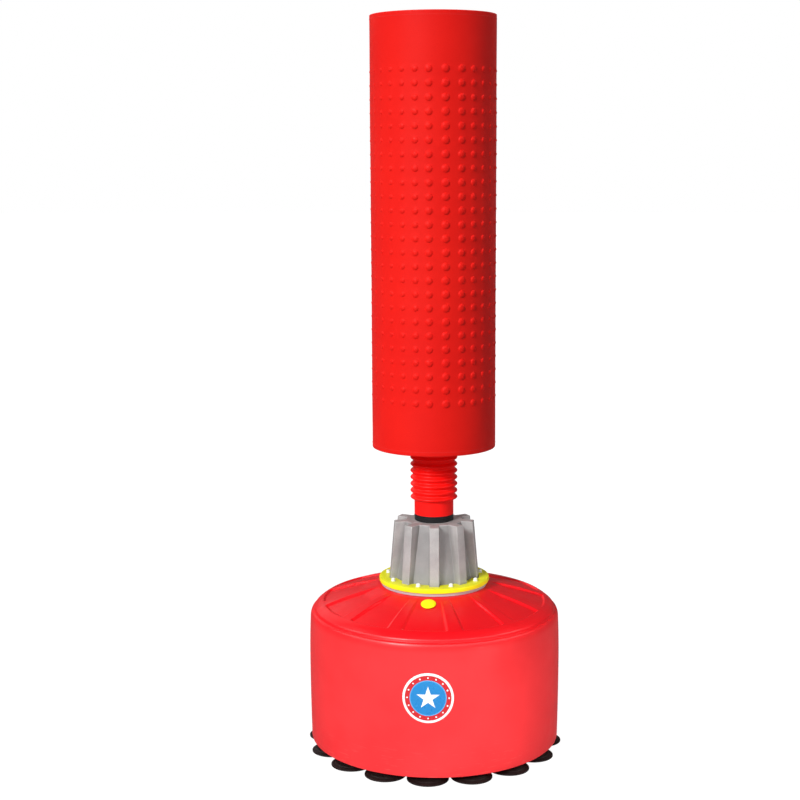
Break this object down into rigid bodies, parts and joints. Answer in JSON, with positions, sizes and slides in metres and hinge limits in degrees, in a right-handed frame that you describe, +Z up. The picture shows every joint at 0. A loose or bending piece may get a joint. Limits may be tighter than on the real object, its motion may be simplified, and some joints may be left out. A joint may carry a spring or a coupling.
{
  "type": "free standing bag",
  "caption": "Free standing training bag: fillable base on suction cups, finned hub, sprung neck under a bellows and a padded column with a zipped cover.",
  "frame": {"origin": "on the floor, under the middle of the base", "axes": "+Z up along the column, -Y to the front, where the badge and the filler plug are, +X to the right seen from the front"},
  "size_m": [0.5248, 0.5268, 1.48],
  "materials": {
    "tank_plastic": "satin",
    "cover_leather": "satin",
    "bellows_rubber": "satin",
    "hub_metal": "matte",
    "ring_plastic": "satin",
    "plug_plastic": "satin",
    "bolt_plastic": "satin",
    "cup_rubber": "satin",
    "seal_rubber": "satin",
    "badge_film": "gloss",
    "bright_steel": "satin",
    "foam_white": "matte",
    "plate_black": "matte",
    "zip_fabric": "matte",
    "zip_metal": "satin"
  },
  "bodies": {
    "base": {"badge": "badge_film", "base_tank": "tank_plastic", "clamp_bolt_1": "bolt_plastic", "clamp_bolt_2": "bolt_plastic", "clamp_bolt_3": "bolt_plastic", "clamp_bolt_4": "bolt_plastic", "clamp_bolt_5": "bolt_plastic", "clamp_bolt_6": "bolt_plastic", "clamp_bolt_7": "bolt_plastic", "clamp_bolt_8": "bolt_plastic", "clamp_bolt_9": "bolt_plastic", "clamp_ring": "ring_plastic", "hub_housing": "hub_metal", "hub_stud": "bright_steel", "hub_stud_washer": "bright_steel", "lower_spring_seat": "bright_steel", "seal_ring": "seal_rubber", "suction_cup_01": "cup_rubber", "suction_cup_02": "cup_rubber", "suction_cup_03": "cup_rubber", "suction_cup_04": "cup_rubber", "suction_cup_05": "cup_rubber", "suction_cup_06": "cup_rubber", "suction_cup_07": "cup_rubber", "suction_cup_08": "cup_rubber", "suction_cup_09": "cup_rubber", "suction_cup_10": "cup_rubber", "suction_cup_11": "cup_rubber", "suction_cup_12": "cup_rubber", "suction_cup_13": "cup_rubber", "suction_cup_14": "cup_rubber", "suction_cup_15": "cup_rubber", "suction_cup_16": "cup_rubber"},
    "spring": {"coil_spring": "bright_steel", "bellows": "bellows_rubber"},
    "bag": {"upper_spring_seat": "bright_steel", "inner_pole": "bright_steel", "pole_bolt": "bright_steel", "pole_nut": "bright_steel", "pole_cap": "plate_black", "foam_core": "foam_white", "top_pad": "foam_white", "bottom_plate": "plate_black", "cover_side": "cover_leather", "cover_top": "cover_leather", "cover_bottom": "cover_leather", "zip_tape": "zip_fabric"},
    "filler_plug": {"filler_plug": "plug_plastic", "plug_seal": "seal_rubber"},
    "zip_slider": {"zip_slider": "zip_metal"},
    "zip_pull": {"zip_pull": "zip_metal"}
  },
  "joints": [
    {"name": "neck_tilt_fore_aft", "type": "hinge", "parent": "base", "child": "spring", "pos_m": [0, 0, 0.54], "axis": [1, 0, 0], "range_deg": [-25, 25], "stiffness_Nm_per_rad": 320, "deforming": ["coil_spring", "bellows"]},
    {"name": "neck_tilt_side", "type": "hinge", "parent": "spring", "child": "bag", "pos_m": [0, 0, 0.59], "axis": [0, 1, 0], "range_deg": [-25, 25], "stiffness_Nm_per_rad": 320, "deforming": ["coil_spring", "bellows"]},
    {"name": "filler_plug_pull", "type": "slide", "parent": "base", "child": "filler_plug", "axis": [0, -0.3236, 0.9462], "range_m": [0, 0.06]},
    {"name": "zip_travel", "type": "slide", "parent": "bag", "child": "zip_slider", "axis": [0, 0, 1], "range_m": [0, 0.79]},
    {"name": "zip_pull_swing", "type": "hinge", "parent": "zip_slider", "child": "zip_pull", "pos_m": [0, 0.133, 0.652], "axis": [1, 0, 0], "range_deg": [0, 150]}
  ]
}
